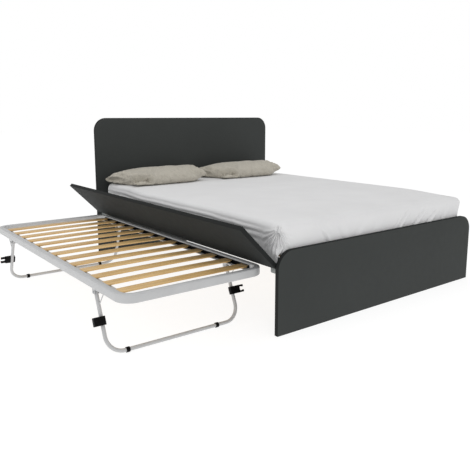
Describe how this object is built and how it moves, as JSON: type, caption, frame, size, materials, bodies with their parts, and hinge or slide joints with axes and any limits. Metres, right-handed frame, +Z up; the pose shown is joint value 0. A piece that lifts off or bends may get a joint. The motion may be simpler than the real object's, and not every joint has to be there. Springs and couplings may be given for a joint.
{
  "type": "trundle bed",
  "caption": "Double bed with a rounded head- and footboard, a lift-up side flap and a low pull-out slatted trundle on folding tube legs.",
  "frame": {"origin": "on the floor, under the middle of the bed's outline with the trundle pulled out as in the rest pose", "axes": "+X from the pulled-out trundle towards the far side, +Y from the footboard to the headboard, +Z up"},
  "size_m": [2.4506, 2.05, 1.026],
  "materials": {
    "painted_board": "anthracite laminated board, matt",
    "base_steel": "grey powder coat, satin",
    "trundle_steel": "light grey powder coat, satin",
    "zinc_fittings": "zinc plated",
    "black_plastic": "black moulded plastic",
    "beech": "clear lacquered beech",
    "white_sheet": "white cotton sheet, slightly creased",
    "beige_linen": "beige linen weave"
  },
  "bodies": {
    "main_bed": {"base_centre_beam": "base_steel", "base_rail_far_side": "base_steel", "base_rail_foot": "base_steel", "base_rail_head": "base_steel", "base_rail_trundle_side": "base_steel", "base_slat_mat": "beech", "centre_leg_foot_end": "base_steel", "centre_leg_head_end": "base_steel", "far_side_panel": "painted_board", "flap_hinge_fixed_leaf_1": "zinc_fittings", "flap_hinge_fixed_leaf_2": "zinc_fittings", "flap_hinge_fixed_leaf_3": "zinc_fittings", "footboard_panel": "painted_board", "headboard_panel": "painted_board", "mattress": "white_sheet", "pillow_far_side": "beige_linen", "pillow_trundle_side": "beige_linen", "rail_shoe_foot_far_side": "base_steel", "rail_shoe_foot_trundle_side": "base_steel", "rail_shoe_head_far_side": "base_steel", "rail_shoe_head_trundle_side": "base_steel"},
    "flap": {"flap_hinge_moving_leaf_1": "zinc_fittings", "flap_hinge_moving_leaf_2": "zinc_fittings", "flap_hinge_moving_leaf_3": "zinc_fittings", "side_flap_panel": "painted_board"},
    "trundle": {"foot_leg_bolt_inner": "zinc_fittings", "foot_leg_bolt_outer": "zinc_fittings", "foot_leg_bracket_inner": "trundle_steel", "foot_leg_bracket_outer": "trundle_steel", "head_leg_bolt_inner": "zinc_fittings", "head_leg_bolt_outer": "zinc_fittings", "head_leg_bracket_inner": "trundle_steel", "head_leg_bracket_outer": "trundle_steel", "slat_holder_inner": "black_plastic", "slat_holder_outer": "black_plastic", "trundle_frame": "trundle_steel", "trundle_slat_01": "beech", "trundle_slat_02": "beech", "trundle_slat_03": "beech", "trundle_slat_04": "beech", "trundle_slat_05": "beech", "trundle_slat_06": "beech", "trundle_slat_07": "beech", "trundle_slat_08": "beech", "trundle_slat_09": "beech", "trundle_slat_10": "beech", "trundle_slat_11": "beech", "trundle_slat_12": "beech", "trundle_slat_13": "beech"},
    "foot_leg": {"foot_leg_floor_ring_a": "black_plastic", "foot_leg_floor_ring_b": "black_plastic", "foot_leg_fork_clip": "black_plastic", "foot_leg_plain_clip": "black_plastic", "foot_leg_tube": "trundle_steel"},
    "head_leg": {"head_leg_floor_ring_a": "black_plastic", "head_leg_floor_ring_b": "black_plastic", "head_leg_fork_clip": "black_plastic", "head_leg_plain_clip": "black_plastic", "head_leg_tube": "trundle_steel"}
  },
  "joints": [
    {"name": "flap_hinge", "type": "hinge", "parent": "main_bed", "child": "flap", "pos_m": [-0.39765, 0, 0.3425], "axis": [0, -1, 0], "range_deg": [-33, 0]},
    {"name": "trundle_slide", "type": "slide", "parent": "main_bed", "child": "trundle", "axis": [1, 0, 0], "range_m": [0, 0.8]},
    {"name": "foot_leg_fold", "type": "hinge", "parent": "trundle", "child": "foot_leg", "pos_m": [-0.79925, -0.6373, 0.272], "axis": [1, 0, 0], "range_deg": [0, 112]},
    {"name": "head_leg_fold", "type": "hinge", "parent": "trundle", "child": "head_leg", "pos_m": [-0.79925, 0.5993, 0.272], "axis": [-1, 0, 0], "range_deg": [0, 112]}
  ]
}
